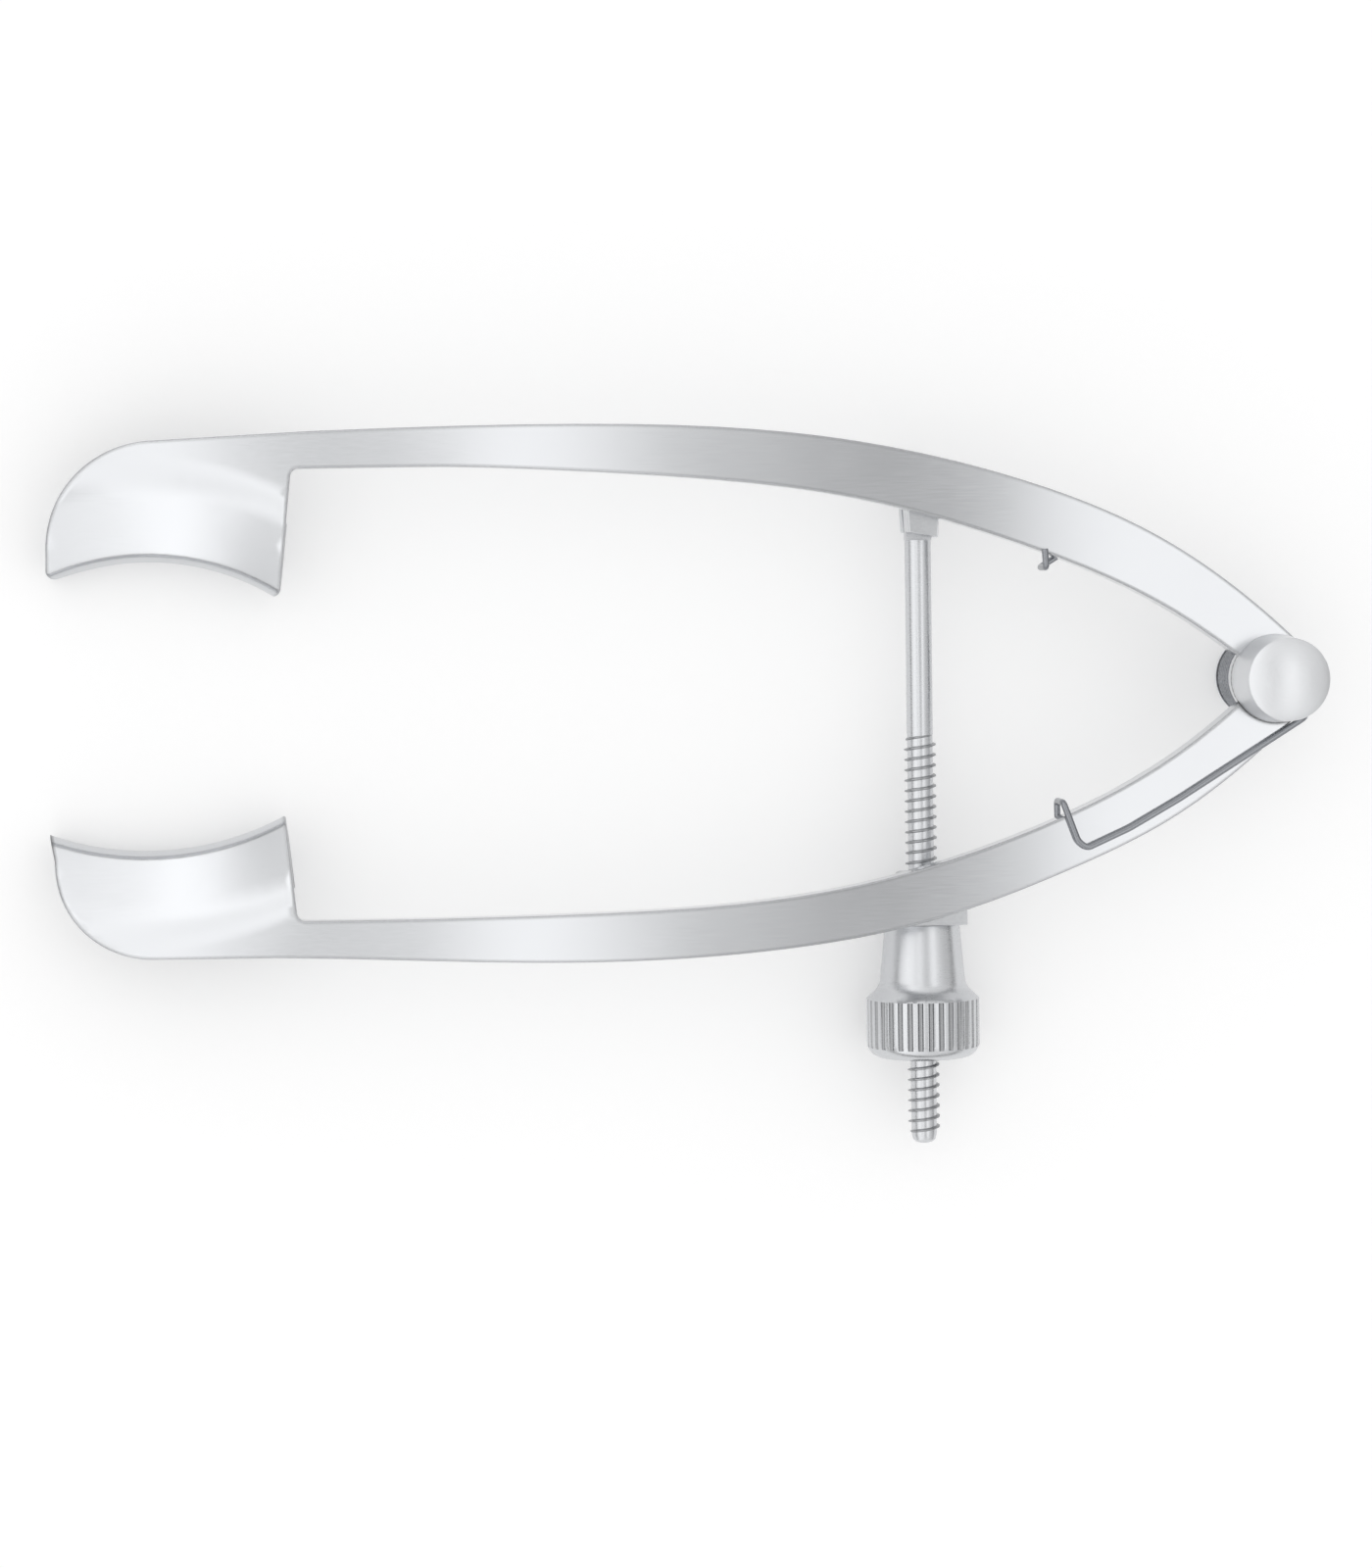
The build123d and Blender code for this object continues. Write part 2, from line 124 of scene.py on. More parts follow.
# Thumb nut: the flutes lie past the neck and before the end's rim, so far inside the grip's radius.
NECK_LENGTH = 5.0 * MM
END_RIM = 0.75 * MM
FLUTE_DEPTH = 0.2 * MM
GRIP_SKIN = 0.03 * MM

# Thread: half widths of the ridge as shares of the pitch, how deep its foot lies in the core, past
# what share of the foot's radius a point is on the crest, and how high the ridge is at its ends.
HALF_CREST = 0.06
HALF_BASE = 0.18
FOOT_DEPTH = 0.05 * MM
FOOT_MARGIN = 1.02
END_HEIGHT = 0.1

# Rod's core: how far it reaches into the shank, and how far before the tip the ridge ends, both in
# thread depths. The tip's rows hold a distance from its end in thread depths and a share of the
# core's radius.
CORE_LAP = 2
CORE_INSET = 0.98
RIDGE_END = 2.2
ROD_TIP = ((3, 1), (1.2, 0.9), (0.4, 0.68), (0, 0.35))
ROD_SIDES = 48


class SteelSettings(bpy.types.PropertyGroup):
    """Colours and gloss of the steel."""

    arm_colour: FloatVectorProperty(
        name="Arm colour",
        description="Colour of the satin arms, the yoke and the swivel block",
        subtype="COLOR",
        size=3,
        min=0,
        max=1,
        default=(0.653, 0.663, 0.68),
    )
    arm_roughness: FloatProperty(
        name="Arm roughness",
        description="Mean roughness of the satin arms",
        default=0.16,
        min=0.02,
        max=1,
        subtype="FACTOR",
    )
    turned_colour: FloatVectorProperty(
        name="Turned colour",
        description="Colour of the barrel, the rod and the thumb nut",
        subtype="COLOR",
        size=3,
        min=0,
        max=1,
        default=(0.653, 0.663, 0.68),
    )
    turned_roughness: FloatProperty(
        name="Turned roughness",
        description="Mean roughness of the nut, the rod and the barrel",
        default=0.28,
        min=0.02,
        max=1,
        subtype="FACTOR",
    )
    head_colour: FloatVectorProperty(
        name="Head colour",
        description="Colour of the hinge pin's plated head",
        subtype="COLOR",
        size=3,
        min=0,
        max=1,
        default=(0.775, 0.785, 0.8),
    )
    head_roughness: FloatProperty(
        name="Head roughness",
        description="Mean roughness of the hinge pin's matt head",
        default=0.38,
        min=0.02,
        max=1,
        subtype="FACTOR",
    )
    # Painted shade: the thread's ridge and the nut's flutes take a darker copy of the turned steel,
    # at this share of its brightness.
    painted_thread_and_flute_shade: FloatProperty(
        name="Groove shade",
        description="How bright the steel is on the thread and in the flutes, against the rest",
        default=0.55,
        min=0,
        max=1,
        subtype="FACTOR",
    )
    fitting_roughness: FloatProperty(
        name="Fitting roughness",
        description="Mean roughness of the milled yoke, its pin and the swivel block",
        default=0.2,
        min=0.02,
        max=1,
        subtype="FACTOR",
    )
    wire_colour: FloatVectorProperty(
        name="Wire colour",
        description="Colour of the spring's drawn wire",
        subtype="COLOR",
        size=3,
        min=0,
        max=1,
        default=(0.3, 0.31, 0.33),
    )
    wire_roughness: FloatProperty(
        name="Wire roughness",
        description="Mean roughness of the spring's drawn wire",
        default=0.26,
        min=0.02,
        max=1,
        subtype="FACTOR",
    )


class EdgeSettings(bpy.types.PropertyGroup):
    """Rims of the pieces."""

    # This width also sets how far the painted rim shade reaches into the steel.
    arm_edge: FloatProperty(
        name="Arm edge",
        description="How wide the shading rounds the rims of the arms and blades",
        default=0.15 * MM,
        unit="LENGTH",
        precision=5,
    )
    fitting_edge: FloatProperty(
        name="Fitting edge",
        description="Width of the rounded rims of the yoke and the swivel block",
        default=0.12 * MM,
        unit="LENGTH",
        precision=5,
    )
    turned_edge: FloatProperty(
        name="Turned edge",
        description="Width of the rounded rims of the turned pieces",
        default=0.05 * MM,
        unit="LENGTH",
        precision=5,
    )


class ThreadSettings(bpy.types.PropertyGroup):
    """Thread of the rod."""

    pitch: FloatProperty(
        name="Pitch",
        description="Advance of the thread in one turn",
        default=0.65 * MM,
        unit="LENGTH",
        precision=5,
    )
    crest_radius: FloatProperty(
        name="Crest radius",
        description="Radius of the thread's crests",
        default=1.0 * MM,
        unit="LENGTH",
        precision=5,
    )
    core_radius: FloatProperty(
        name="Core radius",
        description="Radius at the bottom of the thread",
        default=0.8 * MM,
        unit="LENGTH",
        precision=5,
    )
    start: FloatProperty(
        name="Start",
        description="Where the thread starts, from the yoke's pin",
        default=16.0 * MM,
        unit="LENGTH",
        precision=5,
    )
    steps: IntProperty(
        name="Steps",
        description="Steps in one turn of the thread",
        default=28,
        min=8,
    )


class StudioSettings(bpy.types.PropertyGroup):
    """Floor, lights and camera."""

    floor_colour: FloatVectorProperty(
        name="Floor colour",
        description="Colour of the table under the instrument",
        subtype="COLOR",
        size=3,
        min=0,
        max=1,
        default=(0.92, 0.92, 0.92),
    )
    floor_lift: FloatProperty(
        name="Floor lift",
        description="Light that the table adds where the camera or a reflection sees it",
        default=0.19,
        min=0,
        max=1,
        subtype="FACTOR",
    )
    flag_radius: FloatProperty(
        name="Flag radius",
        description="Radius of the dark ring that the steel reflects near the horizon",
        default=0.25,
        unit="LENGTH",
    )
    flag_height: FloatProperty(
        name="Flag height",
        description="Height of the dark ring above the table",
        default=0.06,
        unit="LENGTH",
    )
    card_brightness: FloatProperty(
        name="Card brightness",
        description="Factor on the levels of the arched light card",
        default=1.0,
        min=0,
    )
    card_radius: FloatProperty(
        name="Card radius",
        description="Radius of the light card's arch over the table",
        default=0.11,
        unit="LENGTH",
    )
    lens: FloatProperty(
        name="Lens",
        description="Focal length of the camera in millimetres",
        default=90.456,
        min=1,
        unit="CAMERA",
    )


def node_maker(material):
    """Two functions for a material: one adds a node and sets its inputs by name, one links two."""
    tree = material.node_tree

    def make(kind, **inputs):
        node = tree.nodes.new(kind)
        for key, value in inputs.items():
            node.inputs[key.replace("_", " ")].default_value = value
        return node

    return make, tree.links.new


def new_material(name, surface="ShaderNodeBsdfPrincipled"):
    """Empty node material with its output and one shader, and its two node functions."""
    material = bpy.data.materials.new(name)
    material.use_nodes = True
    material.node_tree.nodes.clear()
    make, link = node_maker(material)
    out = make("ShaderNodeOutputMaterial")
    shader = make(surface)
    link(shader.outputs[0], out.inputs["Surface"])
    return material, shader, make, link


def calculate(make, link, operation, *values):
    """Result of a math node, each of whose values is another node's output or a plain number."""
    node = make("ShaderNodeMath")
    node.operation = operation
    for place, value in zip(node.inputs, values):
        if isinstance(value, bpy.types.NodeSocket):
            link(value, place)
        else:
            place.default_value = value
    return node.outputs["Value"]


def map_range(make, link, value, old, new=(0, 1)):
    """Map Range node that takes a value from an old range to a new one."""
    node = make("ShaderNodeMapRange", From_Min=old[0], From_Max=old[1], To_Min=new[0], To_Max=new[1])
    link(value, node.inputs["Value"])
    return node


def shade(colour, share):
    """Colour at a share of its brightness."""
    return [part * share for part in colour]


def steel(name, colour, roughness, grain):
    """Stainless steel with a fine grain, small changes of gloss and colour, and polishing marks."""
    material, shader, make, link = new_material(name)
    shader.inputs["Metallic"].default_value = 1.0
    coordinates = make("ShaderNodeTexCoord")
    stretch = make("ShaderNodeMapping", Scale=grain)
    link(coordinates.outputs["Object"], stretch.inputs["Vector"])
    fine = make("ShaderNodeTexNoise", Scale=1.0, Detail=GRAIN_DETAIL, Roughness=GRAIN_FALLOFF)
    link(stretch.outputs["Vector"], fine.inputs["Vector"])
    cloud = make("ShaderNodeTexNoise", Scale=CLOUDS_PER_METRE, Detail=CLOUD_DETAIL)
    link(coordinates.outputs["Object"], cloud.inputs["Vector"])
    mixed = make("ShaderNodeMix", Factor=CLOUD_SHARE)
    link(fine.outputs["Fac"], mixed.inputs["A"])
    link(cloud.outputs["Fac"], mixed.inputs["B"])
    spread = [roughness * share for share in GLOSS_SPREAD]
    gloss = map_range(make, link, mixed.outputs["Result"], GLOSS_NOISE, spread)
    link(gloss.outputs["Result"], shader.inputs["Roughness"])
    tint = make("ShaderNodeValToRGB")
    for element, place, share in zip(tint.color_ramp.elements, TINT_NOISE, (TINT_SHADE, 1)):
        element.position = place
        element.color = (*shade(colour, share), 1)
    link(mixed.outputs["Result"], tint.inputs["Fac"])
    link(tint.outputs["Color"], shader.inputs["Base Color"])
    bump = make("ShaderNodeBump", Strength=MARK_STRENGTH, Distance=MARK_DEPTH)
    link(fine.outputs["Fac"], bump.inputs["Height"])
    link(bump.outputs["Normal"], shader.inputs["Normal"])
    return material


def round_rims_and_paint_rim_shade(material, width):
    """Rounds a steel's rims in the shading, and paints shade on them: its colour darkens near each
    rim.
    """
    make, link = node_maker(material)
    nodes = {node.bl_idname: node for node in material.node_tree.nodes}
    rounded = make("ShaderNodeBevel", Radius=width)
    rounded.samples = RIM_SAMPLES
    link(rounded.outputs["Normal"], nodes["ShaderNodeBump"].inputs["Normal"])
    rim = make("ShaderNodeAmbientOcclusion", Distance=width * RIM_REACH)
    rim.inside = True
    rim.only_local = True
    rim.samples = RIM_SAMPLES
    # Painted shade: the colour darkens where the rays find the rim near.
    level = map_range(make, link, rim.outputs["AO"], RIM_CLEAR, (PAINTED_RIM_SHADE, 1))
    shaded = make("ShaderNodeVectorMath")
    shaded.operation = "SCALE"
    link(nodes["ShaderNodeValToRGB"].outputs["Color"], shaded.inputs["Vector"])
    link(level.outputs["Result"], shaded.inputs["Scale"])
    link(shaded.outputs["Vector"], nodes["ShaderNodeBsdfPrincipled"].inputs["Base Color"])


def merged_mesh(node):
    """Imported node's triangles as one bmesh, with its doubles and its level faces joined."""
    bm = bmesh.new()
    bm.from_mesh(frame["nodes"][node].data)
    bmesh.ops.remove_doubles(bm, verts=bm.verts, dist=MERGE_DISTANCE)
    bmesh.ops.dissolve_limit(bm, angle_limit=LEVEL_ANGLE, verts=bm.verts, edges=bm.edges)
    return bm


def break_edges(bm, width):
    """Rounds the sharp edges of a closed mesh by a small width."""
    sharp = [edge for edge in bm.edges if edge.calc_face_angle(0) > SHARP_ANGLE]
    bmesh.ops.bevel(
        bm,
        geom=sharp,
        offset=width,
        affect="EDGES",
        segments=RIM_SEGMENTS,
        profile=0.5,
        material=-1,
        clamp_overlap=True,
    )


def finish_piece(bm, name, body, slot, materials, *nodes):
    """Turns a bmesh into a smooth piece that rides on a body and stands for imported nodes."""
    for face in bm.faces:
        face.smooth = True
    for edge in bm.edges:
        edge.smooth = edge.calc_face_angle(0) < SHARP_ANGLE
    mesh = bpy.data.meshes.new(name)
    bm.to_mesh(mesh)
    bm.free()
    for material in materials:
        mesh.materials.append(material)
    piece = bpy.data.objects.new(name, mesh)
    bpy.context.scene.collection.objects.link(piece)
    normals = piece.modifiers.new("Even normals", "WEIGHTED_NORMAL")
    normals.keep_sharp = True
    normals.weight = FACE_WEIGHT
    if body:
        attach(piece, body)
    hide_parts(*nodes)
    return piece


class RETRACTOR_OT_arms(bpy.types.Operator):
    """Gives both arms and their blades a satin finish with soft rims and painted shade along them"""

    bl_idname = "retractor.arms"
    bl_label = "Arms and blades"

    def execute(self, context):
        look = context.scene.retractor_steel
        edges = context.scene.retractor_edges
        satin = steel("satin_steel", look.arm_colour, look.arm_roughness, ARM_GRAIN)
        # Painted shade on the rims of the arms and blades.
        round_rims_and_paint_rim_shade(satin, edges.arm_edge)
        for node in ("upper_arm", "lower_arm"):
            bm = merged_mesh(node)
            finish_piece(bm, f"{node}_finished", node, "arm_steel", [satin], node)
        return {"FINISHED"}


class RETRACTOR_OT_hinge(bpy.types.Operator):
    """Rounds the hinge pin's head and the barrel and gives them turning marks"""

    bl_idname = "retractor.hinge"
    bl_label = "Hinge pin and barrel"

    def execute(self, context):
        look = context.scene.retractor_steel
        edges = context.scene.retractor_edges
        matt = steel("matt_head_steel", look.head_colour, look.head_roughness, HINGE_GRAIN)
        turned = steel("turned_hinge_steel", look.turned_colour, look.turned_roughness, HINGE_GRAIN)
        for node, finish in (("pivot_pin", matt), ("pivot_barrel", turned)):
            bm = merged_mesh(node)
            break_edges(bm, edges.turned_edge)
            finish_piece(bm, f"{node}_finished", "lower_arm", "turned_steel", [finish], node)
        return {"FINISHED"}


class RETRACTOR_OT_spring(bpy.types.Operator):
    """Gives the opening spring its drawn wire"""

    bl_idname = "retractor.spring"
    bl_label = "Opening spring"

    def execute(self, context):
        look = context.scene.retractor_steel
        wire = steel("drawn_wire", look.wire_colour, look.wire_roughness, WIRE_GRAIN)
        bm = merged_mesh("opening_spring")
        name = "opening_spring_finished"
        piece = finish_piece(bm, name, None, "spring_wire", [wire], "opening_spring")
        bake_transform(piece)
        return {"FINISHED"}


class RETRACTOR_OT_fittings(bpy.types.Operator):
    """Rounds the yoke, its pin and the swivel block"""

    bl_idname = "retractor.fittings"
    bl_label = "Yoke and swivel block"

    def execute(self, context):
        look = context.scene.retractor_steel
        edges = context.scene.retractor_edges
        milled = steel("milled_steel", look.arm_colour, look.fitting_roughness, MILLED_GRAIN)
        for node, body, slot, width in (
            ("rod_yoke", "upper_arm", "fitting_steel", edges.fitting_edge),
            ("yoke_pin", "upper_arm", "turned_steel", edges.turned_edge),
            ("swivel_block", "block", "fitting_steel", edges.fitting_edge),
        ):
            bm = merged_mesh(node)
            break_edges(bm, width)
            finish_piece(bm, f"{node}_finished", body, slot, [milled], node)
        return {"FINISHED"}


def on_rod(along, radius):
    """Point beside the rod's axis: so far from the yoke's pin towards the tip, and so far out."""
    return ROD_ROOT + Vector((radius, 0, 0)) + ROD_WAY * along


def beside_rod(point):
    """Distance of a point along the rod from the yoke's pin, and its offset from the axis."""
    offset = point - ROD_ROOT
    along = offset.dot(ROD_WAY)
    return along, offset - ROD_WAY * along


class RETRACTOR_OT_nut(bpy.types.Operator):
    """Rounds the rims of the thumb nut, gives it turning marks and paints shade into its flutes"""

    bl_idname = "retractor.nut"
    bl_label = "Thumb nut"

    def execute(self, context):
        look = context.scene.retractor_steel
        edges = context.scene.retractor_edges
        turned = steel("turned_nut_steel", look.turned_colour, look.turned_roughness, ROD_GRAIN)
        # Painted shade: the flutes take a darker copy of the turned steel.
        flute_shade_colour = shade(look.turned_colour, look.painted_thread_and_flute_shade)
        flute_shade = steel("painted_flute_shade_steel", flute_shade_colour, look.turned_roughness, ROD_GRAIN)
        low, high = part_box("thumb_nut")
        grip_radius = (high.x - low.x) / 2
        bm = merged_mesh("thumb_nut")
        for face in bm.faces:
            along, out = beside_rod(face.calc_center_median())
            in_grip = ROD_ROOT.y - high.y + NECK_LENGTH < along < ROD_ROOT.y - low.y - END_RIM
            if in_grip and grip_radius - FLUTE_DEPTH < out.length < grip_radius - GRIP_SKIN:
                # These flute faces take the painted shade.
                face.material_index = 1
        break_edges(bm, edges.turned_edge)
        finish_piece(bm, "thumb_nut_finished", "nut", "turned_steel", [turned, flute_shade], "thumb_nut")
        return {"FINISHED"}


def turn_on_rod(bm, outline):
    """Turns an open outline of (along, radius) points into a closed shape round the rod's axis."""
    verts = [bm.verts.new(on_rod(along, radius)) for along, radius in outline]
    edges = [bm.edges.new(pair) for pair in zip(verts, verts[1:])]
    bmesh.ops.spin(
        bm,
        geom=verts + edges,
        cent=ROD_ROOT,
        axis=ROD_WAY,
        dvec=(0, 0, 0),
        angle=2 * math.pi,
        steps=ROD_SIDES,
        use_merge=True,
    )
    bmesh.ops.remove_doubles(bm, verts=bm.verts, dist=MERGE_DISTANCE)


def wind_thread(bm, thread, start, end):
    """Winds a right-hand ridge round the rod, running out to next to nothing at both ends."""
    half_crest, half_base = thread.pitch * HALF_CREST, thread.pitch * HALF_BASE
    foot = thread.core_radius - FOOT_DEPTH
    corners = (
        (start - half_base, foot),
        (start - half_crest, thread.crest_radius),
        (start + half_crest, thread.crest_radius),
        (start + half_base, foot),
    )
    section = bm.faces.new([bm.verts.new(on_rod(*corner)) for corner in corners])
    turns = (end - start) / thread.pitch
    steps = round(turns * thread.steps)
    bmesh.ops.spin(
        bm,
        geom=[section, *section.edges, *section.verts],
        cent=ROD_ROOT,
        axis=ROD_WAY,
        dvec=ROD_WAY * ((end - start) / steps),
        angle=2 * math.pi * turns,
        steps=steps,
    )
    for vert in bm.verts:
        along, out = beside_rod(vert.co)
        if out.length > foot * FOOT_MARGIN:
            share = min(along - start, end - along) / thread.pitch + END_HEIGHT
            radius = foot + (thread.crest_radius - foot) * max(0.0, min(1.0, share))
            vert.co = on_rod(along, 0) + out.normalized() * radius


def sort_faces(bm):
    """Sorts faces by their points, because a spin leaves them in another order on each run."""
    bm.verts.index_update()
    count = len(bm.verts)

    def place(face):
        first, second, third, *_ = sorted(vert.index for vert in face.verts)
        return (first * count + second) * count + third

    bm.faces.sort(key=place)


class RETRACTOR_OT_rod(bpy.types.Operator):
    """Keeps the rod's eye and shank and winds the right-hand thread, with painted shade on its
    ridge, on the rest
    """

    bl_idname = "retractor.rod"
    bl_label = "Threaded rod"

    def execute(self, context):
        look = context.scene.retractor_steel
        thread = context.scene.retractor_thread
        low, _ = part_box("threaded_rod")
        tip = ROD_ROOT.y - low.y
        bright = steel("rod_steel", look.turned_colour, look.turned_roughness, ROD_GRAIN)
        # Painted shade: the thread's ridge takes a darker copy of the rod's steel.
        ridge_shade_colour = shade(look.turned_colour, look.painted_thread_and_flute_shade)
        cut = steel("painted_ridge_shade_steel", ridge_shade_colour, look.turned_roughness, ROD_GRAIN)
        shank = merged_mesh("threaded_rod")
        parting = bmesh.ops.bisect_plane(
            shank,
            geom=[*shank.verts, *shank.edges, *shank.faces],
            plane_co=on_rod(thread.start, 0),
            plane_no=ROD_WAY,
            clear_outer=True,
        )
        rim = [item for item in parting["geom_cut"] if isinstance(item, bmesh.types.BMEdge)]
        bmesh.ops.holes_fill(shank, edges=rim)
        core = bmesh.new()
        depth = thread.crest_radius - thread.core_radius
        inner = thread.start - CORE_LAP * depth
        outline = [(inner, 0), (inner, thread.core_radius * CORE_INSET)]
        outline.append((thread.start, thread.core_radius))
        for before, share in ROD_TIP:
            outline.append((tip - before * depth, thread.core_radius * share))
        outline.append((tip, 0))
        turn_on_rod(core, outline)
        bmesh.ops.recalc_face_normals(core, faces=core.faces)
        ridge = bmesh.new()
        wind_thread(ridge, thread, thread.start, tip - RIDGE_END * depth)
        bmesh.ops.recalc_face_normals(ridge, faces=ridge.faces)
        # The ridge takes the painted shade.
        for face in ridge.faces:
            face.material_index = 1
        for part in (core, ridge):
            mesh = bpy.data.meshes.new("thread_part")
            part.to_mesh(mesh)
            part.free()
            shank.from_mesh(mesh)
            bpy.data.meshes.remove(mesh)
        sort_faces(shank)
        name = "threaded_rod_finished"
        finish_piece(shank, name, "rod", "rod_steel", [bright, cut], "threaded_rod")
        return {"FINISHED"}


# Stage: its middle under the instrument, the table, the dark ring, the room and the camera.
STAGE_MIDDLE = 30 * MM
TABLE_REACH = 3.0
TABLE_ROUGHNESS = 0.9
TABLE_GLEAM = 0.1
FLAG_COLOUR = (0.3, 0.3, 0.3, 1)
FLAG_SIDES = 64
ROOM_COLOUR = (0.9, 0.9, 0.9, 1)
CAMERA_PLACE = Vector((10.3966, 6.4267, 248.0)) * MM
CAMERA_TARGET = Vector((31.2210, -5.8754, 8.0)) * MM
CAMERA_UP = Vector((0.0187636, 0.9985950, -0.0495587))
CAMERA_REACH = (0.01, 50)

# Light card: an arch along X whose two feet stand at the angle CARD_FOOT above the table, seen from
# its middle. Its levels are places along X in millimetres with the brightness there: one list for
# overhead and one for the sides, which take over between two distances from SIDE_MIDDLE along Y.
CARD_LENGTH = 0.8
CARD_STEPS = 48
CARD_FOOT = math.radians(13.5)
SIDE_MIDDLE = -12
SIDE_FADE = (35, 80)
CARD_PEAK = 2.0
TOP_STEPS = (
    (-150, 1.25),
    (-80, 1.45),
    (-46, 1.35),
    (-30, 1.25),
    (-22, 1.6),
    (-13, 0.9),
    (1, 0.98),
    (15, 1.48),
    (40, 0.82),
    (62, 0.55),
    (66, 0.72),
    (76, 1.5),
    (86, 1.36),
    (97, 1.5),
    (116, 0.95),
    (200, 0.7),
)
SIDE_STEPS = (
    (-150, 0.8),
    (-60, 0.95),
    (-33, 1.6),
    (-15, 1.35),
    (10, 1.2),
    (60, 0.95),
    (200, 0.8),
)


def stage_piece(bm, name, material):
    """Turns a bmesh into a piece of the stage, centred under the instrument."""
    bmesh.ops.translate(bm, verts=bm.verts, vec=(STAGE_MIDDLE, 0, 0))
    mesh = bpy.data.meshes.new(name)
    bm.to_mesh(mesh)
    bm.free()
    mesh.materials.append(material)
    piece = bpy.data.objects.new(name, mesh)
    bpy.context.scene.collection.objects.link(piece)
    return piece


def only_reflected(piece):
    """Keeps a piece of the stage out of sight and of the soft light: only reflections show it."""
    piece.visible_camera = False
    piece.visible_shadow = False
    piece.visible_diffuse = False


def colour_socket(sockets, name):
    """Colour socket of a Mix node, whose sockets of other kinds have the same names."""
    return next(socket for socket in sockets if socket.name == name and socket.type == "RGBA")


def card_light(brightness):
    """Light of the card: its levels overhead, and towards the table those of the sides."""
    material, glow, make, link = new_material("light_card", "ShaderNodeEmission")
    coordinates = make("ShaderNodeTexCoord")
    split = make("ShaderNodeSeparateXYZ")
    link(coordinates.outputs["Object"], split.inputs["Vector"])
    low, high = TOP_STEPS[0][0], TOP_STEPS[-1][0]
    along = map_range(make, link, split.outputs["X"], (low * MM, high * MM))
    across = calculate(make, link, "ADD", split.outputs["Y"], -SIDE_MIDDLE * MM)
    aside = calculate(make, link, "ABSOLUTE", across)
    sides = map_range(make, link, aside, [place * MM for place in SIDE_FADE])
    sides.interpolation_type = "SMOOTHSTEP"
    mixed = make("ShaderNodeMix")
    mixed.data_type = "RGBA"
    link(sides.outputs["Result"], mixed.inputs["Factor"])
    for steps, name in ((TOP_STEPS, "A"), (SIDE_STEPS, "B")):
        ramp = make("ShaderNodeValToRGB")
        ramp.color_ramp.interpolation = "EASE"
        elements = ramp.color_ramp.elements
        while len(elements) < len(steps):
            elements.new(0.5)
        for element, (place, level) in zip(elements, steps):
            element.position = (place - low) / (high - low)
            element.color = (*[level / CARD_PEAK] * 3, 1)
        link(along.outputs["Result"], ramp.inputs["Fac"])
        link(ramp.outputs["Color"], colour_socket(mixed.inputs, name))
    link(colour_socket(mixed.outputs, "Result"), glow.inputs["Color"])
    glow.inputs["Strength"].default_value = CARD_PEAK * brightness
    return material


def draw_out(bm, way):
    """Draws the edges of a bmesh out into a wall."""
    wall = bmesh.ops.extrude_edge_only(bm, edges=bm.edges)
    moved = [item for item in wall["geom"] if isinstance(item, bmesh.types.BMVert)]
    bmesh.ops.translate(bm, verts=moved, vec=way)


def light_tunnel(length, radius, brightness):
    """Arched light card over the instrument, graded along X as a studio gradient is."""
    bm = bmesh.new()
    foot = Vector((-length / 2, radius * math.cos(CARD_FOOT), radius * math.sin(CARD_FOOT)))
    rim = [bm.verts.new(foot)]
    arch = math.pi - 2 * CARD_FOOT
    bmesh.ops.spin(bm, geom=rim, cent=(0, 0, 0), axis=(1, 0, 0), angle=arch, steps=CARD_STEPS)
    draw_out(bm, (length, 0, 0))
    bmesh.ops.recalc_face_normals(bm, faces=bm.faces)
    only_reflected(stage_piece(bm, "light_card", card_light(brightness)))


def dark_flags(radius, height):
    """Low dark ring round the table: the reflections in rounded edges end in it."""
    material, shader, *_ = new_material("dark_flag")
    shader.inputs["Base Color"].default_value = FLAG_COLOUR
    shader.inputs["Roughness"].default_value = 1.0
    bm = bmesh.new()
    bmesh.ops.create_circle(bm, segments=FLAG_SIDES, radius=radius)
    draw_out(bm, (0, 0, height))
    only_reflected(stage_piece(bm, "dark_flags", material))


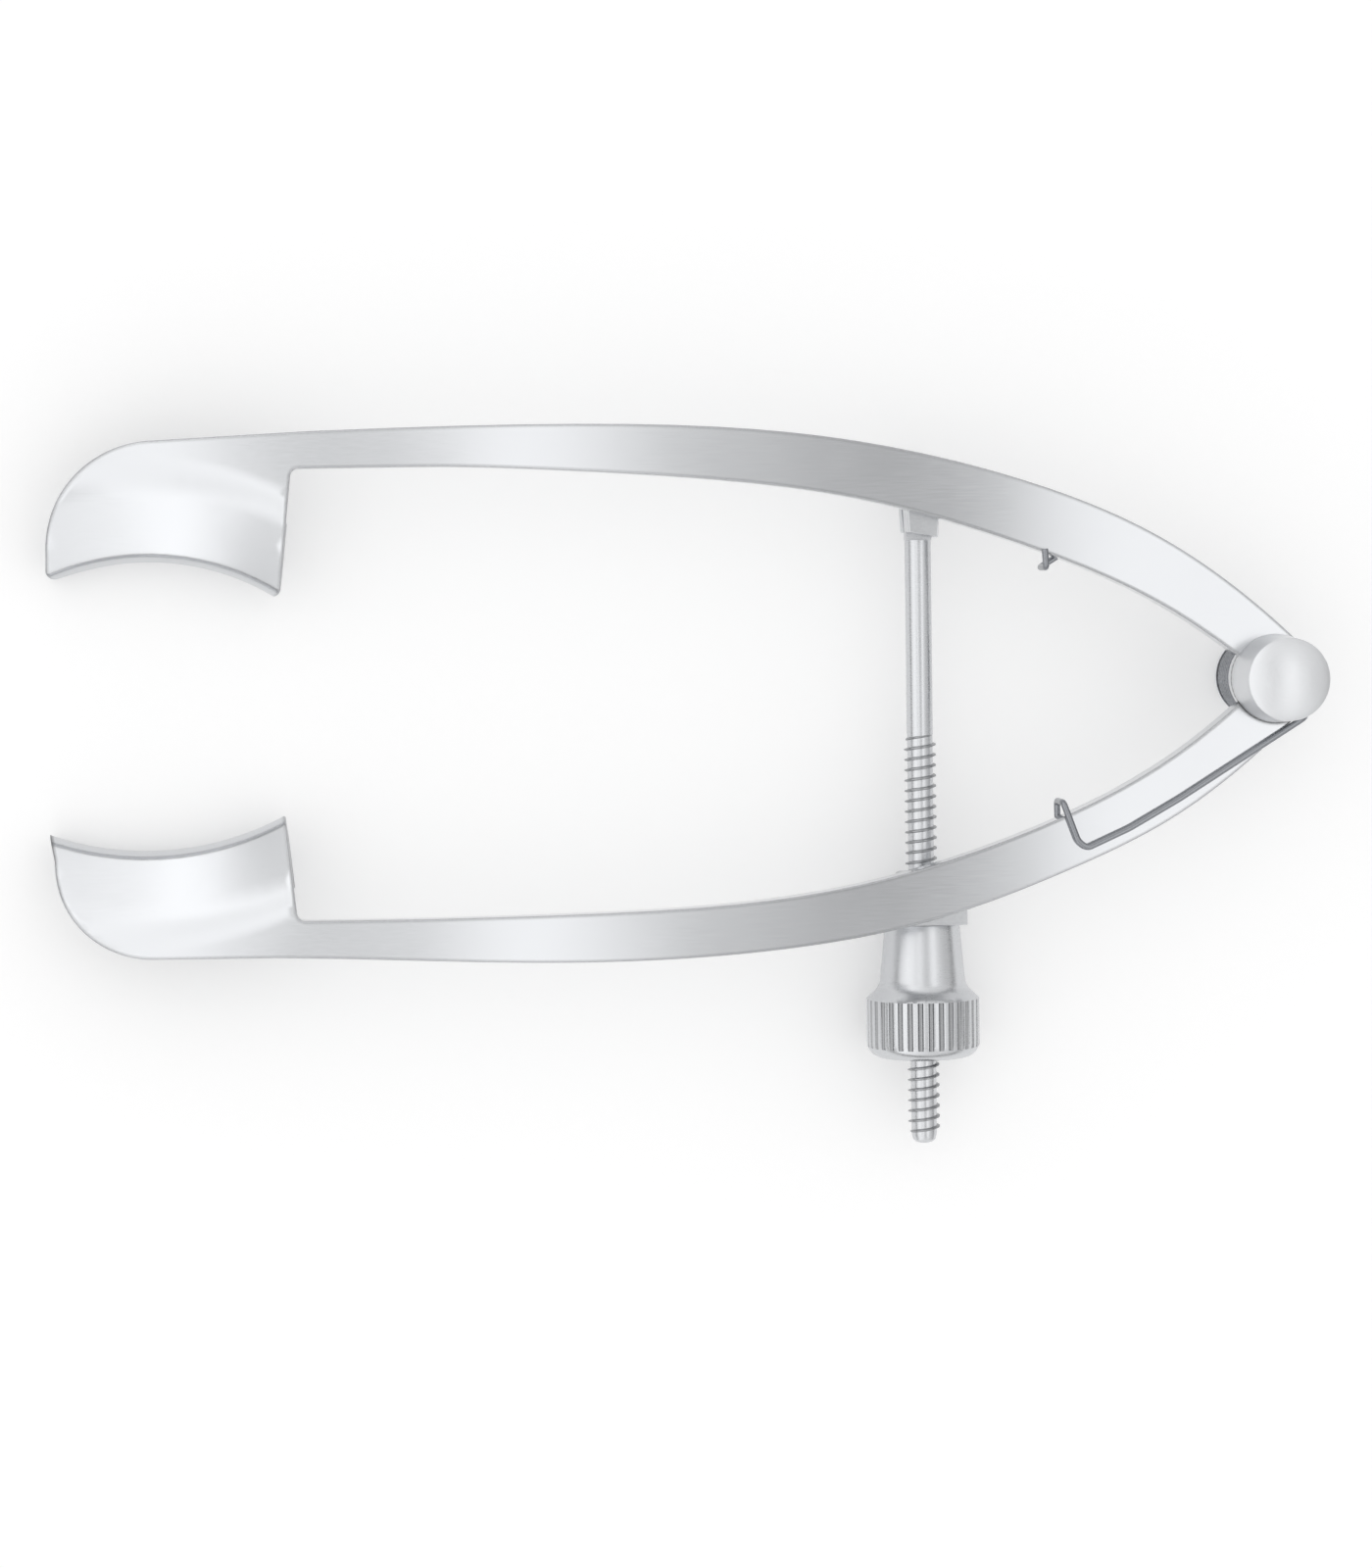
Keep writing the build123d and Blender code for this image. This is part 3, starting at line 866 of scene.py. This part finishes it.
class RETRACTOR_OT_stage(bpy.types.Operator):
    """Builds the pale table, the arched light card, the dark ring, the room and the camera"""

    bl_idname = "retractor.stage"
    bl_label = "Stage"

    def execute(self, context):
        studio = context.scene.retractor_studio
        self.add_floor(studio)
        light_tunnel(CARD_LENGTH, studio.card_radius, studio.card_brightness)
        dark_flags(studio.flag_radius, studio.flag_height)
        self.add_room(context)
        self.add_camera(context, studio)
        context.scene.view_settings.view_transform = "Standard"
        return {"FINISHED"}

    def add_floor(self, studio):
        """Pale matt table that keeps the shadows."""
        material, shader, make, link = new_material("pale_table")
        shader.inputs["Roughness"].default_value = TABLE_ROUGHNESS
        shader.inputs["Specular IOR Level"].default_value = TABLE_GLEAM
        shader.inputs["Base Color"].default_value = (*studio.floor_colour, 1)
        shader.inputs["Emission Color"].default_value = (1, 1, 1, 1)
        rays = make("ShaderNodeLightPath")
        seen = rays.outputs["Is Camera Ray"]
        for kind in ("Is Glossy Ray", "Is Transmission Ray"):
            seen = calculate(make, link, "MAXIMUM", seen, rays.outputs[kind])
        lift = calculate(make, link, "MULTIPLY", seen, studio.floor_lift)
        link(lift, shader.inputs["Emission Strength"])
        bm = bmesh.new()
        bmesh.ops.create_grid(bm, x_segments=1, y_segments=1, size=TABLE_REACH)
        stage_piece(bm, "table", material)

    def add_room(self, context):
        """Even pale light from all round."""
        world = bpy.data.worlds.new("pale_room")
        context.scene.world = world
        world.use_nodes = True
        background = world.node_tree.nodes["Background"]
        background.inputs["Color"].default_value = ROOM_COLOUR

    def add_camera(self, context, studio):
        """Camera nearly straight above the instrument."""
        data = bpy.data.cameras.new("camera")
        data.lens = studio.lens
        data.clip_start, data.clip_end = CAMERA_REACH
        camera = bpy.data.objects.new("camera", data)
        context.scene.collection.objects.link(camera)
        back = (CAMERA_PLACE - CAMERA_TARGET).normalized()
        right = CAMERA_UP.cross(back).normalized()
        up = back.cross(right)
        turn = Matrix((right, up, back)).transposed()
        camera.matrix_world = Matrix.Translation(CAMERA_PLACE) @ turn.to_4x4()
        context.scene.camera = camera


class RETRACTOR_PT_panel(bpy.types.Panel):
    """Lists the operators of the eyelid retractor"""

    bl_idname = "RETRACTOR_PT_panel"
    bl_label = "Eyelid retractor"
    bl_space_type = "VIEW_3D"
    bl_region_type = "UI"
    bl_category = "Retractor"

    def draw(self, context):
        for operator in OPERATORS:
            self.layout.operator(operator.bl_idname)


SETTINGS = {
    "retractor_steel": SteelSettings,
    "retractor_edges": EdgeSettings,
    "retractor_thread": ThreadSettings,
    "retractor_studio": StudioSettings,
}

OPERATORS = (
    RETRACTOR_OT_arms,
    RETRACTOR_OT_hinge,
    RETRACTOR_OT_spring,
    RETRACTOR_OT_fittings,
    RETRACTOR_OT_nut,
    RETRACTOR_OT_rod,
    RETRACTOR_OT_stage,
)


def register():
    for name, settings in SETTINGS.items():
        bpy.utils.register_class(settings)
        setattr(bpy.types.Scene, name, PointerProperty(type=settings))
    for operator in OPERATORS:
        bpy.utils.register_class(operator)
    bpy.utils.register_class(RETRACTOR_PT_panel)


def unregister():
    bpy.utils.unregister_class(RETRACTOR_PT_panel)
    for operator in reversed(OPERATORS):
        bpy.utils.unregister_class(operator)
    for name, settings in SETTINGS.items():
        delattr(bpy.types.Scene, name)
        bpy.utils.unregister_class(settings)


def main():
    """Makes every piece and the stage."""
    register()
    bpy.ops.retractor.arms()
    bpy.ops.retractor.hinge()
    bpy.ops.retractor.spring()
    bpy.ops.retractor.fittings()
    bpy.ops.retractor.nut()
    bpy.ops.retractor.rod()
    bpy.ops.retractor.stage()


if __name__ == "__main__":
    main()
